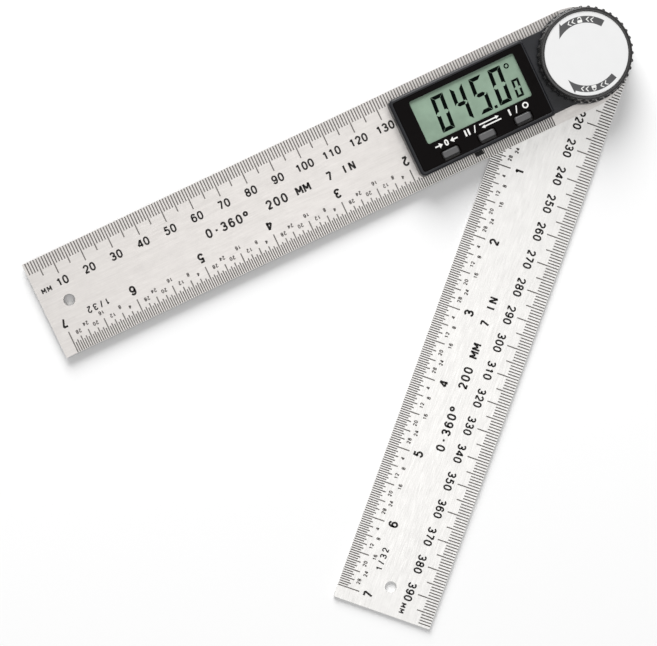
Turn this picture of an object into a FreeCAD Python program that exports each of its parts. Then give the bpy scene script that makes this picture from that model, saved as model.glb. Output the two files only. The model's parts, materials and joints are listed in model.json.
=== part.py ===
import FreeCAD, Part
# Digital angle ruler: two ruler blades on a pivot, a display housing, three buttons and a lock knob.
#
# Frame: the origin is on the pivot axis, on the underside of the lower blade. +Z points out of the face that
# is read. The upper blade runs along -X with its millimetre edge towards +Y. The lower blade rests at
# 45 degrees to it. All lengths are in millimetres.
import math
import os
from types import SimpleNamespace

import Sketcher
from FreeCAD import Placement, Rotation, Vector

DRIVING_SIZES = {
    # blades
    "blade_length": 200.0,
    "blade_width": 34.6,
    "blade_thickness": 1.2,
    "blade_gap": 0.3,
    "round_end_offset": 1.2,
    "hang_hole_radius": 2.0,
    "hang_hole_inset": 9.3,
    "rest_angle": 45.0,
    "shim_thickness": 0.2,
    "shim_inner_radius": 11.6,
    "shim_outer_radius": 15.6,
    # pivot
    "hub_radius": 11.0,
    "hub_rise": 0.3,
    "running_clearance": 0.05,
    "shaft_radius": 4.0,
    "thread_radius": 2.95,
    "shaft_shoulder_drop": 0.1,
    "hub_screw_circle": 7.5,
    "screw_radius": 0.85,
    "screw_head_radius": 1.7,
    "screw_head_height": 0.8,
    "recess_half_length": 1.02,
    "recess_half_width": 0.22,
    "recess_depth": 0.48,
    # housing
    "housing_left": 66.4,
    "housing_right": 17.1,
    "housing_half_width": 13.9,
    "neck_half_width": 13.6,
    "corner_radius": 1.8,
    "boss_radius": 16.1,
    "boss_blend_radius": 5.0,
    "floor_thickness": 0.7,
    "base_height": 4.6,
    "neck_plate": 0.9,
    "bezel_height": 2.9,
    "edge_radius": 0.45,
    "seam_bevel": 0.15,
    "rim_left": 1.2,
    "rim_right": 0.7,
    "panel_half_width": 12.6,
    "panel_thickness": 0.6,
    "panel_recess": 0.1,
    "panel_corner_radius": 0.8,
    # electronics bay and encoder bay
    "bay_left": 60.2,
    "bay_right": 19.4,
    "bay_half_width": 12.6,
    "encoder_bay_radius": 14.8,
    "pillar_left": 63.4,
    "pillar_right": 16.6,
    "pillar_offset": 10.8,
    "pillar_radius": 1.7,
    "pillar_seat": 1.5,
    "fit_clearance": 0.1,
    "cut_overrun": 1.0,
    "board_thickness": 0.6,
    "board_inset_left": 0.2,
    "board_inset_right": 0.8,
    "zebra_height": 0.45,
    "zebra_width": 1.2,
    "zebra_inset": 0.3,
    "display_thickness": 1.0,
    "display_left": 61.6,
    "display_right": 20.0,
    "display_low": 6.4,
    "display_high": 12.0,
    "window_left": 60.0,
    "window_right": 21.6,
    "window_low": 4.75,
    "window_high": 10.75,
    "window_corner_radius": 0.7,
    "display_opening_margin": 0.2,
    "panel_shelf_width": 0.5,
    "chip_left": 59.9,
    "chip_size": 3.0,
    "chip_low": 2.0,
    "chip_high": 6.0,
    "chip_height": 1.0,
    # buttons
    "button_centre": 40.9,
    "button_spacing": 13.35,
    "button_row": 10.25,
    "button_length": 5.8,
    "button_width": 2.5,
    "button_travel": 0.4,
    "button_hole_gap": 0.15,
    "flange_margin": 0.5,
    "dome_radius": 1.8,
    "dome_height": 0.25,
    # battery drawer
    "tray_centre": 45.2,
    "tray_width": 21.2,
    "tray_back": 11.4,
    "tray_floor": 0.3,
    "tray_wall_height": 3.1,
    "tray_clearance": 0.2,
    "lip_width": 2.8,
    "lip_reach": 1.5,
    "lip_height": 1.0,
    "lip_bead_height": 2.0,
    "coin_radius": 10.0,
    "coin_height": 3.2,
    "coin_centre": 0.4,
    "coin_bevel_width": 1.2,
    "coin_bevel_height": 0.5,
    "contact_low": 2.0,
    "contact_high": 10.0,
    "contact_gap": 0.08,
    # angle sensor and bush
    "sensor_board": 0.8,
    "sensor_gap": 0.8,
    "sensor_outer_radius": 14.2,
    "bush_wall": 1.45,
    "collar_radius": 7.0,
    "ribbon_thickness": 0.15,
    "ribbon_half_width": 3.0,
    "ribbon_start": 12.0,
    "ribbon_foot": 15.0,
    "ribbon_crest": 18.0,
    "ribbon_end": 22.0,
    # lock knob
    "knob_gap": 0.3,
    "knob_height": 5.3,
    "knob_radius": 15.5,
    "knob_top_radius": 15.2,
    "cap_radius": 14.05,
    "cap_recess": 0.9,
    "cap_thickness": 0.6,
    "rib_count": 38,
    "rib_radius": 0.6,
    "rib_stand_out": 0.55,
    "rib_top_drop": 1.6,
    "washer_thickness": 0.4,
    "washer_radius": 11.3,
    "washer_seat_gap": 0.05,
    "nut_across_flats": 10.0,
    "nut_height": 3.2,
    "nut_cover": 0.6,
    "shaft_end_bevel": 0.44,
}
HUB_SCREW_ANGLES = (60, 180, 300)
# how far a place may lie from a named face and still count as on it
NEAR = 1e-6


class Size:
    """A length that carries its number and its spreadsheet formula together."""

    def __init__(self, number, formula=None):
        self.number = float(number)
        self.formula = formula or repr(float(number))

    def __add__(self, other):
        other = as_size(other)
        return Size(self.number + other.number, f"({self.formula} + {other.formula})")

    def __sub__(self, other):
        other = as_size(other)
        return Size(self.number - other.number, f"({self.formula} - {other.formula})")

    def __mul__(self, other):
        other = as_size(other)
        return Size(self.number * other.number, f"({self.formula} * {other.formula})")

    def __truediv__(self, other):
        other = as_size(other)
        return Size(self.number / other.number, f"({self.formula} / {other.formula})")

    def __neg__(self):
        return Size(-self.number, f"(-1 * {self.formula})")


def as_size(value):
    return value if isinstance(value, Size) else Size(value)


def fill_spreadsheet(sheet):
    """Write each driving size to its own named cell and return them as Size objects."""
    sizes = SimpleNamespace()
    for row, (name, value) in enumerate(DRIVING_SIZES.items(), start=1):
        sheet.set(f"A{row}", name)
        sheet.set(f"B{row}", repr(value))
        sheet.setAlias(f"B{row}", name)
        setattr(sizes, name, Size(value, f"Sizes.{name}"))
    return sizes


document = FreeCAD.newDocument("DigitalAngleRuler")
sheet = document.addObject("Spreadsheet::Sheet", "Sizes")
size = fill_spreadsheet(sheet)
document.recompute()

ZERO = Size(0)
# heights above the origin
upper_bottom = size.blade_thickness + size.blade_gap
upper_top = upper_bottom + size.blade_thickness
hub_top = upper_top + size.hub_rise
floor_top = upper_top + size.floor_thickness
seam = upper_top + size.base_height
boss_top = seam + size.neck_plate
housing_top = seam + size.bezel_height
panel_top = housing_top - size.panel_recess
panel_bottom = panel_top - size.panel_thickness
board_top = seam + size.board_thickness
display_bottom = board_top + size.zebra_height
display_top = display_bottom + size.display_thickness
rotor_top = hub_top + size.sensor_board
stator_bottom = rotor_top + size.sensor_gap
stator_top = stator_bottom + size.sensor_board
shoulder = boss_top - size.shaft_shoulder_drop
knob_bottom = boss_top + size.knob_gap
knob_top = knob_bottom + size.knob_height
cap_seat = knob_top - size.cap_recess
washer_bottom = boss_top + size.washer_seat_gap
washer_top = washer_bottom + size.washer_thickness
nut_top = cap_seat - size.nut_cover
nut_bottom = nut_top - size.nut_height
tray_bottom = floor_top + size.tray_clearance
coin_bottom = tray_bottom + size.tray_floor
coin_top = coin_bottom + size.coin_height
button_centres = [-size.button_centre + size.button_spacing * step for step in (-1, 0, 1)]
pillar_places = [(-side, size.pillar_offset * sign)
                 for side in (size.pillar_left, size.pillar_right) for sign in (-1, 1)]

sub_parts = []


def keep(sub_part, label):
    """Give a finished sub-part its own name and list it for writing."""
    sub_part.Label = label
    sub_parts.append(sub_part)
    return sub_part


def bind(thing, **properties):
    """Tie properties of an object to spreadsheet formulas."""
    for name, value in properties.items():
        thing.setExpression(name.replace("__", "."), as_size(value).formula)


# ---------------------------------------------------------------- sketches and features


def origin_item(body, role):
    """The plane or axis of a body's own origin that plays the given role."""
    return next(item for item in body.Origin.OriginFeatures if item.Role == role)


def new_sketch(body, name, height=ZERO, role="XY_Plane"):
    sketch = body.newObject("Sketcher::SketchObject", name)
    sketch.AttachmentSupport = (origin_item(body, role), "")
    sketch.MapMode = "FlatFace"
    bind(sketch, AttachmentOffset__Base__z=height)
    return sketch


def constrain(sketch, value, *definition):
    index = sketch.addConstraint(Sketcher.Constraint(*definition, value.number))
    sketch.setExpression(f"Constraints[{index}]", value.formula)


def pin_point(sketch, geometry, point, x, y):
    """Hold a point of a sketch at x, y from the sketch's origin."""
    constrain(sketch, x, "DistanceX", -1, 1, geometry, point)
    constrain(sketch, y, "DistanceY", -1, 1, geometry, point)


def circle(x, y, radius):
    x, y, radius = as_size(x), as_size(y), as_size(radius)

    def draw(sketch):
        outline = Part.Circle(Vector(x.number, y.number, 0), Vector(0, 0, 1), radius.number)
        index = sketch.addGeometry(outline, False)
        pin_point(sketch, index, 3, x, y)
        constrain(sketch, radius, "Radius", index)

    return draw


def polygon(*points):
    points = [(as_size(x), as_size(y)) for x, y in points]

    def draw(sketch):
        corners = [Vector(x.number, y.number, 0) for x, y in points]
        first = sketch.GeometryCount
        count = len(corners)
        for step in range(count):
            sketch.addGeometry(Part.LineSegment(corners[step], corners[(step + 1) % count]), False)
        for step in range(count):
            following = first + (step + 1) % count
            sketch.addConstraint(Sketcher.Constraint("Coincident", first + step, 2, following, 1))
            pin_point(sketch, first + step, 1, *points[step])

    return draw


def box(x_low, x_high, y_low, y_high):
    return polygon((x_low, y_low), (x_high, y_low), (x_high, y_high), (x_low, y_high))


def feature(body, kind, name, profile):
    made = body.newObject(kind, name)
    made.Profile = profile
    return made


def raise_pad(body, name, outlines, bottom, top):
    """Add material between two heights."""
    sketch = new_sketch(body, name + "_sketch", bottom)
    for outline in outlines:
        outline(sketch)
    pad = feature(body, "PartDesign::Pad", name, sketch)
    bind(pad, Length=top - bottom)
    return pad


def cut_pocket(body, name, outlines, bottom, top):
    """Remove material between two heights, and check that some was removed."""
    document.recompute()
    before = body.Shape.Volume
    sketch = new_sketch(body, name + "_sketch", top)
    for outline in outlines:
        outline(sketch)
    pocket = feature(body, "PartDesign::Pocket", name, sketch)
    bind(pocket, Length=top - bottom)
    document.recompute()
    if body.Shape.Volume >= before:
        raise RuntimeError(f"{body.Name}: {name} removes nothing")
    return pocket


def spin_profile(body, name, *points):
    """Revolve a radius-and-height profile about the vertical axis."""
    sketch = new_sketch(body, name + "_sketch", role="XZ_Plane")
    polygon(*points)(sketch)
    turned = feature(body, "PartDesign::Revolution", name, sketch)
    turned.ReferenceAxis = (sketch, ["V_Axis"])
    turned.Angle = 360.0
    return turned


def round_edges(body, kind, name, amount, wanted):
    """Fillet or chamfer every edge of the body's last feature that passes the wanted test."""
    document.recompute()
    base = body.Tip
    names = [f"Edge{number}" for number, edge in enumerate(base.Shape.Edges, start=1) if wanted(edge)]
    if not names:
        raise RuntimeError(f"{body.Name}: {name} finds no edges")
    made = body.newObject(kind, name)
    made.Base = (base, names)
    bind(made, **{"Radius" if kind.endswith("Fillet") else "Size": amount})
    return made


def middle(edge):
    low, high = edge.ParameterRange
    return edge.valueAt((low + high) / 2)


def is_upright(edge):
    """A straight edge along Z."""
    ends = [vertex.Point for vertex in edge.Vertexes]
    return len(ends) == 2 and math.hypot(ends[0].x - ends[1].x, ends[0].y - ends[1].y) < NEAR


def lies_at(edge, height):
    heights = [vertex.Z for vertex in edge.Vertexes] + [middle(edge).z]
    return all(abs(place - height.number) < NEAR for place in heights)


def new_body(name):
    return document.addObject("PartDesign::Body", name)


# ---------------------------------------------------------------- plain solids


def plain_box(name, x_low, x_high, y_low, y_high, bottom, top):
    solid = document.addObject("Part::Box", name)
    bind(solid, Length=as_size(x_high) - x_low, Width=as_size(y_high) - y_low, Height=top - bottom,
         Placement__Base__x=x_low, Placement__Base__y=y_low, Placement__Base__z=bottom)
    return solid


def plain_cylinder(name, radius, bottom, top, x=ZERO, y=ZERO):
    solid = document.addObject("Part::Cylinder", name)
    bind(solid, Radius=radius, Height=top - bottom,
         Placement__Base__x=x, Placement__Base__y=y, Placement__Base__z=bottom)
    return solid


def plain_cone(name, bottom_radius, top_radius, bottom, top, x, y):
    solid = document.addObject("Part::Cone", name)
    bind(solid, Radius1=bottom_radius, Radius2=top_radius, Height=top - bottom,
         Placement__Base__x=x, Placement__Base__y=y, Placement__Base__z=bottom)
    return solid


def combine(kind, name, base, tool):
    made = document.addObject(kind, name)
    made.Base = base
    made.Tool = tool
    return made


def ring(name, inner_radius, outer_radius, bottom, top):
    outer = plain_cylinder(name + "_outer", outer_radius, bottom, top)
    inner = plain_cylinder(name + "_hole", inner_radius, bottom, top)
    return combine("Part::Cut", name, outer, inner)


def group(name, solids):
    made = document.addObject("Part::Compound", name)
    made.Links = solids
    return made


def countersunk_screw(name, x, y, head_bottom, tip):
    """A screw whose head faces down, with a cross recess."""
    head_top = head_bottom + size.screw_head_height
    head = plain_cone(name + "_head", size.screw_head_radius, size.screw_radius, head_bottom, head_top, x, y)
    shank = plain_cylinder(name + "_shank", size.screw_radius, head_bottom, tip, x, y)
    made = combine("Part::Fuse", name + "_blank", head, shank)
    recess_top = head_bottom + size.recess_depth
    half_sizes = (size.recess_half_length, size.recess_half_width)
    for turn, (along, across) in enumerate((half_sizes, half_sizes[::-1])):
        arm = plain_box(f"{name}_recess_{turn}", x - along, x + along, y - across, y + across,
                        head_bottom, recess_top)
        made = combine("Part::Cut", f"{name}_cut_{turn}", made, arm)
    return made


def turn_to_rest(sub_part):
    """Stand a sub-part of the lower arm at its rest angle."""
    sub_part.Placement = Placement(Vector(), Rotation(Vector(0, 0, 1), size.rest_angle.number))
    sub_part.setExpression("Placement.Rotation.Angle", f"{size.rest_angle.formula} * 1 deg")
    return sub_part


# ---------------------------------------------------------------- blades


def countersink(body, name, x, y, bottom):
    """A countersink in a blade's underside, for one screw head."""
    cone = body.newObject("PartDesign::SubtractiveCone", name)
    cone.AttachmentSupport = (origin_item(body, "XY_Plane"), "")
    cone.MapMode = "FlatFace"
    bind(cone, Radius1=size.screw_head_radius, Radius2=size.screw_radius, Height=size.screw_head_height,
         AttachmentOffset__Base__x=x, AttachmentOffset__Base__y=y, AttachmentOffset__Base__z=bottom)
    document.recompute()


def blade(name, bottom, top):
    """A ruler blade along -X: square outer end with a hanging hole, and a round end about the pivot."""
    body = new_body(name)
    half_width = size.blade_width / 2
    round_centre = -size.round_end_offset
    raise_pad(body, "bar", [box(-size.blade_length, round_centre, -half_width, half_width)], bottom, top)
    raise_pad(body, "round_end", [circle(round_centre, ZERO, half_width)], bottom, top)
    hang_hole = circle(size.hang_hole_inset - size.blade_length, ZERO, size.hang_hole_radius)
    cut_pocket(body, "hang_hole", [hang_hole], bottom, top)
    return body


def make_upper_blade():
    body = blade("upper_blade", upper_bottom, upper_top)
    bearing_hole = circle(ZERO, ZERO, size.hub_radius + size.running_clearance)
    screw_holes = [circle(x, y, size.screw_radius) for x, y in pillar_places]
    cut_pocket(body, "bearing_and_screw_holes", [bearing_hole, *screw_holes], upper_bottom, upper_top)
    for number, (x, y) in enumerate(pillar_places):
        countersink(body, f"countersink_{number}", x, y, upper_bottom)
    keep(body, "upper_blade")


def hub_screw_places():
    angles = [math.radians(angle) for angle in HUB_SCREW_ANGLES]
    radius = size.hub_screw_circle
    return [(radius * math.cos(angle), radius * math.sin(angle)) for angle in angles]


def make_lower_blade():
    body = blade("lower_blade", ZERO, size.blade_thickness)
    holes = [circle(x, y, size.screw_radius) for x, y in hub_screw_places()]
    cut_pocket(body, "hub_screw_holes", holes, ZERO, size.blade_thickness)
    for number, (x, y) in enumerate(hub_screw_places()):
        countersink(body, f"countersink_{number}", x, y, ZERO)
    keep(turn_to_rest(body), "lower_blade")


# ---------------------------------------------------------------- pivot, carried by the lower blade


def make_pivot_hub():
    """Flange that the upper blade turns on, with the shaft and its threaded end above it."""
    body = new_body("pivot_hub")
    blunt = size.shaft_end_bevel
    shaft_top = nut_top - size.knob_gap
    spin_profile(
        body, "turned_hub",
        (ZERO, size.blade_thickness), (size.hub_radius, size.blade_thickness), (size.hub_radius, hub_top),
        (size.shaft_radius, hub_top), (size.shaft_radius, shoulder), (size.thread_radius, shoulder),
        (size.thread_radius, shaft_top - blunt), (size.thread_radius - blunt, shaft_top), (ZERO, shaft_top))
    holes = [circle(x, y, size.screw_radius) for x, y in hub_screw_places()]
    cut_pocket(body, "screw_holes", holes, size.blade_thickness, hub_top)
    keep(turn_to_rest(body), "pivot_hub")


def make_pivot_rings():
    shim = ring("friction_shim", size.shim_inner_radius, size.shim_outer_radius, size.blade_thickness,
                size.blade_thickness + size.shim_thickness)
    keep(shim, "friction_shim")
    rotor = ring("encoder_rotor", size.shaft_radius, size.sensor_outer_radius, hub_top, rotor_top)
    keep(rotor, "encoder_rotor")
    stator_hole = size.shaft_radius + size.bush_wall + size.tray_clearance * 2
    stator = ring("encoder_stator", stator_hole, size.sensor_outer_radius + size.tray_clearance,
                  stator_bottom, stator_top)
    keep(stator, "encoder_stator")
    bush = ring("shaft_bush", size.shaft_radius + size.running_clearance, size.shaft_radius + size.bush_wall,
                stator_top, boss_top)
    keep(bush, "shaft_bush")
    washer = ring("thrust_washer", size.shaft_radius + size.running_clearance * 2, size.washer_radius,
                  washer_bottom, washer_top)
    keep(washer, "thrust_washer")


def make_screws():
    hub_screws = [countersunk_screw(f"hub_screw_{number}", x, y, ZERO, hub_top)
                  for number, (x, y) in enumerate(hub_screw_places())]
    keep(turn_to_rest(group("hub_screws", hub_screws)), "hub_screws")
    housing_screws = [countersunk_screw(f"housing_screw_{number}", x, y, upper_bottom, seam)
                      for number, (x, y) in enumerate(pillar_places)]
    keep(group("housing_screws", housing_screws), "housing_screws")


# ---------------------------------------------------------------- housing


def housing_block(body, bottom, bezel_top, neck_top):
    """The housing's outline: a rounded oblong, a slightly narrower neck and the round boss."""
    bezel = box(-size.housing_left, -size.housing_right, -size.housing_half_width, size.housing_half_width)
    neck = box(-size.housing_right - size.cut_overrun, ZERO, -size.neck_half_width, size.neck_half_width)
    raise_pad(body, "boss", [circle(ZERO, ZERO, size.boss_radius)], bottom, neck_top)
    raise_pad(body, "neck", [neck], bottom, neck_top)
    raise_pad(body, "bezel", [bezel], bottom, bezel_top)
    left = -size.housing_left.number
    round_edges(body, "PartDesign::Fillet", "left_corners", size.corner_radius,
                lambda edge: is_upright(edge) and abs(middle(edge).x - left) < NEAR)
    joint = -math.sqrt(size.boss_radius.number ** 2 - size.neck_half_width.number ** 2)
    round_edges(body, "PartDesign::Fillet", "neck_blends", size.boss_blend_radius,
                lambda edge: is_upright(edge) and abs(middle(edge).x - joint) < size.running_clearance.number)


def make_housing_base():
    body = new_body("housing_base")
    housing_block(body, upper_top, seam, seam)
    bay = box(-size.bay_left, -size.bay_right, -size.bay_half_width, size.bay_half_width)
    cut_pocket(body, "electronics_bay", [bay], floor_top, seam)
    cut_pocket(body, "encoder_bay", [circle(ZERO, ZERO, size.encoder_bay_radius)], upper_top, seam)
    ribbon_way = box(-size.bay_right - size.cut_overrun, -size.collar_radius, -size.shaft_radius,
                     size.shaft_radius)
    cut_pocket(body, "ribbon_way", [ribbon_way], stator_top, seam)
    pillar_holes = [circle(x, y, size.pillar_radius + size.fit_clearance) for x, y in pillar_places]
    cut_pocket(body, "pillar_holes", pillar_holes, upper_top + size.pillar_seat, seam)
    screw_holes = [circle(x, y, size.screw_radius + size.fit_clearance) for x, y in pillar_places]
    cut_pocket(body, "screw_holes", screw_holes, upper_top, upper_top + size.pillar_seat)
    half_slot = size.tray_width / 2 + size.tray_clearance
    slot = box(-size.tray_centre - half_slot, -size.tray_centre + half_slot,
               -size.housing_half_width - size.cut_overrun, -size.bay_half_width + size.cut_overrun)
    cut_pocket(body, "battery_slot", [slot], floor_top, seam)
    keep(body, "housing_base")


def panel_outline(margin=ZERO):
    """The panel's place in the bezel, drawn larger by the margin."""
    left = -size.housing_left + size.rim_left - margin
    right = -size.housing_right - size.rim_right + margin
    half_width = size.panel_half_width + margin
    return left, right, -half_width, half_width


def board_outline(margin=ZERO):
    half_width = size.bay_half_width - size.tray_clearance + margin
    left = -size.display_left + size.board_inset_left - margin
    right = -size.bay_right + size.board_inset_right + margin
    return left, right, -half_width, half_width


def make_housing_cover():
    body = new_body("housing_cover")
    housing_block(body, seam, housing_top, boss_top)
    recess = panel_outline(size.fit_clearance)
    cut_pocket(body, "panel_recess", [box(*recess)], panel_bottom, housing_top)
    opening = box(-size.display_left - size.display_opening_margin,
                  -size.display_right + size.display_opening_margin,
                  -size.panel_half_width + size.panel_shelf_width, size.display_high + size.fit_clearance)
    cut_pocket(body, "display_opening", [opening], seam, panel_bottom)
    board_bay = box(*board_outline(size.fit_clearance))
    cut_pocket(body, "board_bay", [board_bay], seam, board_top + size.fit_clearance)
    pillars = [circle(x, y, size.pillar_radius) for x, y in pillar_places]
    raise_pad(body, "pillars", pillars, upper_top + size.pillar_seat, seam)
    raise_pad(body, "collar", [circle(ZERO, ZERO, size.collar_radius)], stator_top, seam)
    bush_hole = circle(ZERO, ZERO, size.shaft_radius + size.bush_wall)
    cut_pocket(body, "bush_hole", [bush_hole], stator_top, boss_top)
    threads = [circle(x, y, size.screw_radius) for x, y in pillar_places]
    cut_pocket(body, "screw_threads", threads, upper_top + size.pillar_seat, seam)
    inside_recess = [value.number for value in recess]

    def is_outer(edge):
        place = middle(edge)
        low_x, high_x, low_y, high_y = inside_recess
        is_inside = low_x - 0.1 < place.x < high_x + 0.1 and low_y - 0.1 < place.y < high_y + 0.1
        return lies_at(edge, housing_top) and not is_inside

    round_edges(body, "PartDesign::Fillet", "bezel_edge", size.edge_radius, is_outer)
    outer_radius = size.collar_radius.number

    def is_boss_rim(edge):
        place = middle(edge)
        is_right_of_step = place.x > -size.housing_right.number + 0.1
        return lies_at(edge, boss_top) and is_right_of_step and math.hypot(place.x, place.y) > outer_radius

    round_edges(body, "PartDesign::Fillet", "boss_edge", size.edge_radius * 0.6, is_boss_rim)
    inner_width = size.neck_half_width.number - 0.3

    def is_seam_outline(edge):
        place = middle(edge)
        is_in_bezel = -size.housing_left.number + 1 < place.x < 0 and abs(place.y) < inner_width
        is_in_boss = math.hypot(place.x, place.y) < size.boss_radius.number - 0.1
        return lies_at(edge, seam) and not is_in_bezel and not is_in_boss

    round_edges(body, "PartDesign::Chamfer", "seam_bevel", size.seam_bevel, is_seam_outline)
    keep(body, "housing_cover")


def window_outline(margin=ZERO):
    return (-size.window_left - margin, -size.window_right + margin, -size.window_low - margin,
            size.window_high + margin)


def is_corner_of(outline):
    """A test for the four upright edges at an outline's corners."""
    low_x, high_x, low_y, high_y = [value.number for value in outline]

    def wanted(edge):
        place = middle(edge)
        on_x = min(abs(place.x - low_x), abs(place.x - high_x)) < NEAR
        on_y = min(abs(place.y - low_y), abs(place.y - high_y)) < NEAR
        return is_upright(edge) and on_x and on_y

    return wanted


def button_outline(x, margin=ZERO):
    half_length = size.button_length / 2 + margin
    half_width = size.button_width / 2 + margin
    return x - half_length, x + half_length, -size.button_row - half_width, -size.button_row + half_width


def make_front_panel():
    """The black panel, with the display's window and three button holes through it."""
    body = new_body("front_panel")
    raise_pad(body, "sheet", [box(*panel_outline())], panel_bottom, panel_top)
    cut_pocket(body, "window", [box(*window_outline())], panel_bottom, panel_top)
    holes = [box(*button_outline(x, size.button_hole_gap)) for x in button_centres]
    cut_pocket(body, "button_holes", holes, panel_bottom, panel_top)
    round_edges(body, "PartDesign::Fillet", "panel_corners", size.panel_corner_radius,
                is_corner_of(panel_outline()))
    round_edges(body, "PartDesign::Fillet", "window_corners", size.window_corner_radius,
                is_corner_of(window_outline()))
    keep(body, "front_panel")


def make_display_window():
    body = new_body("display_window")
    lens_top = panel_top - size.panel_recess / 2
    raise_pad(body, "lens", [box(*window_outline())], panel_bottom, lens_top)
    round_edges(body, "PartDesign::Fillet", "lens_corners", size.window_corner_radius,
                is_corner_of(window_outline()))
    keep(body, "display_window")


# ---------------------------------------------------------------- electronics


def make_display():
    glass = plain_box("lcd_module", -size.display_left, -size.display_right, -size.display_low,
                      size.display_high, display_bottom, display_top)
    keep(glass, "lcd_module")
    low_edge = -size.display_low + size.zebra_inset
    high_edge = size.display_high - size.zebra_inset - size.zebra_width
    strips = []
    for name, edge in (("low", low_edge), ("high", high_edge)):
        strip = plain_box(f"zebra_{name}", -size.window_left, -size.window_right, edge,
                          edge + size.zebra_width, board_top, display_bottom)
        strips.append(strip)
    keep(group("zebra_strips", strips), "zebra_strips")


def make_circuit_board():
    board = plain_box("circuit_board", *board_outline(), seam, board_top)
    keep(board, "circuit_board")
    chip = plain_box("controller_chip", -size.chip_left, -size.chip_left + size.chip_size, -size.chip_low,
                     size.chip_high, seam - size.chip_height, seam)
    keep(chip, "controller_chip")
    domes = [plain_cylinder(f"dome_{number}", size.dome_radius, board_top, board_top + size.dome_height,
                            x, -size.button_row) for number, x in enumerate(button_centres)]
    keep(group("switch_domes", domes), "switch_domes")


def make_battery_contacts():
    half_width = size.dome_radius
    contact_left = -size.tray_centre - half_width
    contact_right = contact_left + half_width * 2
    plus = plain_box("contact_plus", contact_left, contact_right, size.contact_low, size.contact_high,
                     coin_top + size.contact_gap, seam)
    keep(plus, "contact_plus")
    minus = plain_box("contact_minus", contact_left, contact_right, size.contact_low, size.contact_high,
                      floor_top, coin_bottom - size.running_clearance)
    keep(minus, "contact_minus")


def make_encoder_flex():
    """A thin ribbon that climbs from the stator's top to the underside of the main board."""
    body = new_body("encoder_flex")
    sketch = new_sketch(body, "ribbon_path", -size.ribbon_half_width, "XZ_Plane")
    upper_face = [(-size.ribbon_start, stator_top + size.ribbon_thickness),
                  (-size.ribbon_foot, stator_top + size.ribbon_thickness),
                  (-size.ribbon_crest, seam), (-size.ribbon_end, seam)]
    lower_face = [(along, height - size.ribbon_thickness) for along, height in upper_face]
    polygon(*lower_face, *reversed(upper_face))(sketch)
    pad = feature(body, "PartDesign::Pad", "ribbon", sketch)
    bind(pad, Length=size.ribbon_half_width * 2)
    keep(body, "encoder_flex")


# ---------------------------------------------------------------- buttons and battery drawer


def make_buttons():
    """Three caps: each rises through the panel from a flange that the panel holds down."""
    cap_bottom = board_top + size.dome_height + size.button_travel + size.fit_clearance
    flange_top = panel_bottom - size.fit_clearance
    flange_bottom = flange_top - size.button_travel
    cap_top = panel_top - size.fit_clearance * 2
    for name, x in zip(("zero_button", "hold_button", "power_button"), button_centres):
        body = new_body(name)
        raise_pad(body, "cap", [box(*button_outline(x))], cap_bottom, cap_top)
        raise_pad(body, "flange", [box(*button_outline(x, size.flange_margin))], flange_bottom, flange_top)
        round_edges(body, "PartDesign::Fillet", "cap_corners", size.button_width / 5,
                    is_corner_of(button_outline(x)))
        round_edges(body, "PartDesign::Chamfer", "cap_bevel", size.button_width / 8,
                    lambda edge: lies_at(edge, cap_top))
        keep(body, name)


def make_battery_drawer():
    body = new_body("battery_tray")
    half_width = size.tray_width / 2
    left = -size.tray_centre - half_width
    right = -size.tray_centre + half_width
    front = -size.housing_half_width
    tray_top = tray_bottom + size.tray_floor + size.tray_wall_height
    raise_pad(body, "block", [box(left, right, front, size.tray_back)], tray_bottom, tray_top)
    lip_left = -size.tray_centre - size.lip_width / 2
    lip_right = lip_left + size.lip_width
    lip_out = front - size.lip_reach
    raise_pad(body, "lip", [box(lip_left, lip_right, lip_out, front + size.cut_overrun)],
              tray_bottom, tray_bottom + size.lip_height)
    raise_pad(body, "lip_bead", [box(lip_left, lip_right, lip_out, lip_out + size.lip_reach / 2)],
              tray_bottom, tray_bottom + size.lip_bead_height)
    pocket = circle(-size.tray_centre, size.coin_centre, size.coin_radius + size.fit_clearance)
    cut_pocket(body, "coin_pocket", [pocket], coin_bottom, tray_top)
    half_slot = size.dome_radius + size.tray_clearance
    contact_slot = box(-size.tray_centre - half_slot, -size.tray_centre + half_slot, ZERO,
                       size.tray_back + size.cut_overrun)
    cut_pocket(body, "contact_slot", [contact_slot], tray_bottom, coin_bottom)
    keep(body, "battery_tray")
    coin = new_body("coin_cell")
    rim = size.coin_radius - size.coin_bevel_width
    spin_profile(coin, "can", (ZERO, coin_bottom), (rim, coin_bottom),
                 (size.coin_radius, coin_bottom + size.coin_bevel_height),
                 (size.coin_radius, coin_top), (ZERO, coin_top))
    bind(coin, Placement__Base__x=-size.tray_centre, Placement__Base__y=size.coin_centre)
    keep(coin, "coin_cell")


# ---------------------------------------------------------------- lock knob


def hexagon(across_flats):
    corner = across_flats / math.sqrt(3)
    return polygon(*[(corner * math.cos(math.radians(60 * step)), corner * math.sin(math.radians(60 * step)))
                     for step in range(6)])


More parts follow.
